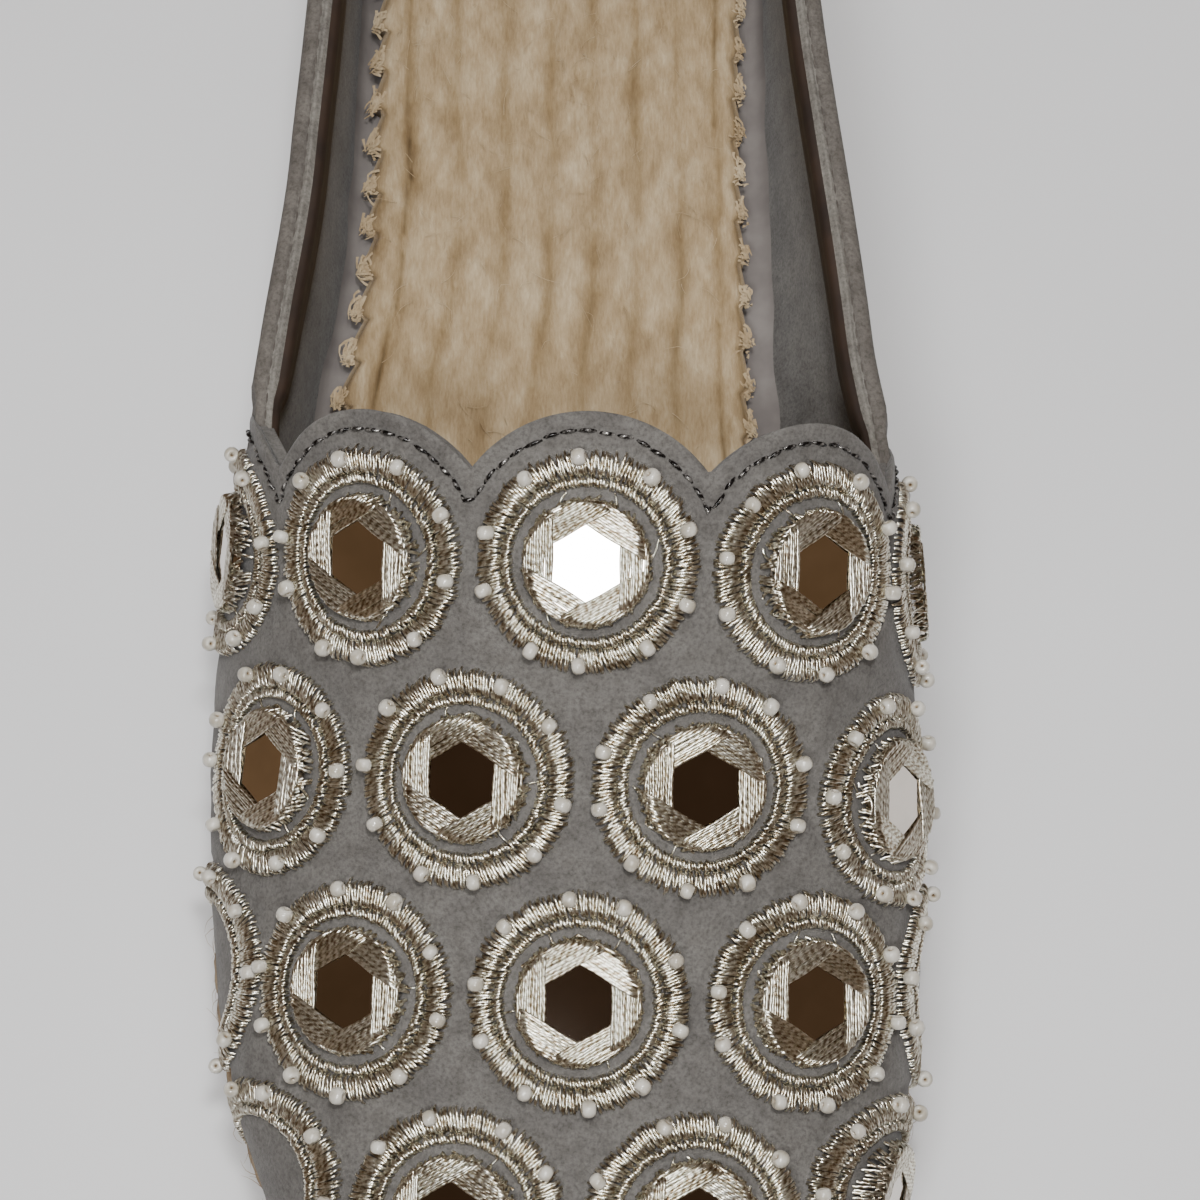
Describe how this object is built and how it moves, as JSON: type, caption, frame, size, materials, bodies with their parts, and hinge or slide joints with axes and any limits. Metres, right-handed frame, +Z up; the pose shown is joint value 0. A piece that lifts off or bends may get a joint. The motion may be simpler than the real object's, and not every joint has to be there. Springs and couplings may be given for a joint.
{
  "type": "mirror-work espadrille shoe",
  "caption": "Right slip-on espadrille: jute rope sole and footbed, hollow suede upper with a scalloped throat, embroidered rings with mirrors.",
  "frame": {"origin": "on the ground under the middle of the shoe's plan", "axes": "+Z up, -Y towards the toe, +Y towards the heel, +X towards the inner (arch) side"},
  "size_m": [0.0928, 0.2542, 0.0715],
  "materials": {
    "outsole_rubber": "matt crepe rubber",
    "sole_jute": "braided jute rope",
    "insole_jute": "braided jute footbed",
    "upper_suede": "fine grey suede",
    "binding_suede": "folded grey strip with a stitched groove",
    "embroidery": "satin-stitched metallic thread",
    "mirror_glass": "small round mirrors",
    "bead_pearl": "cream pearl seed beads, on the visual model alone"
  },
  "bodies": {
    "root": {"outsole": "outsole_rubber", "sole": "sole_jute", "insole": "insole_jute", "upper": "upper_suede", "binding": "binding_suede", "ring_01": "embroidery", "ring_02": "embroidery", "ring_03": "embroidery", "ring_04": "embroidery", "ring_05": "embroidery", "ring_06": "embroidery", "ring_07": "embroidery", "ring_08": "embroidery", "ring_09": "embroidery", "ring_10": "embroidery", "ring_11": "embroidery", "ring_12": "embroidery", "ring_13": "embroidery", "ring_14": "embroidery", "ring_15": "embroidery", "ring_16": "embroidery", "ring_17": "embroidery", "ring_18": "embroidery", "ring_19": "embroidery", "ring_20": "embroidery", "ring_21": "embroidery", "mirror_01": "mirror_glass", "mirror_02": "mirror_glass", "mirror_03": "mirror_glass", "mirror_04": "mirror_glass", "mirror_05": "mirror_glass", "mirror_06": "mirror_glass", "mirror_07": "mirror_glass", "mirror_08": "mirror_glass", "mirror_09": "mirror_glass", "mirror_11": "mirror_glass", "mirror_12": "mirror_glass", "mirror_13": "mirror_glass", "mirror_16": "mirror_glass", "mirror_17": "mirror_glass", "mirror_18": "mirror_glass", "mirror_20": "mirror_glass"}
  },
  "joints": []
}
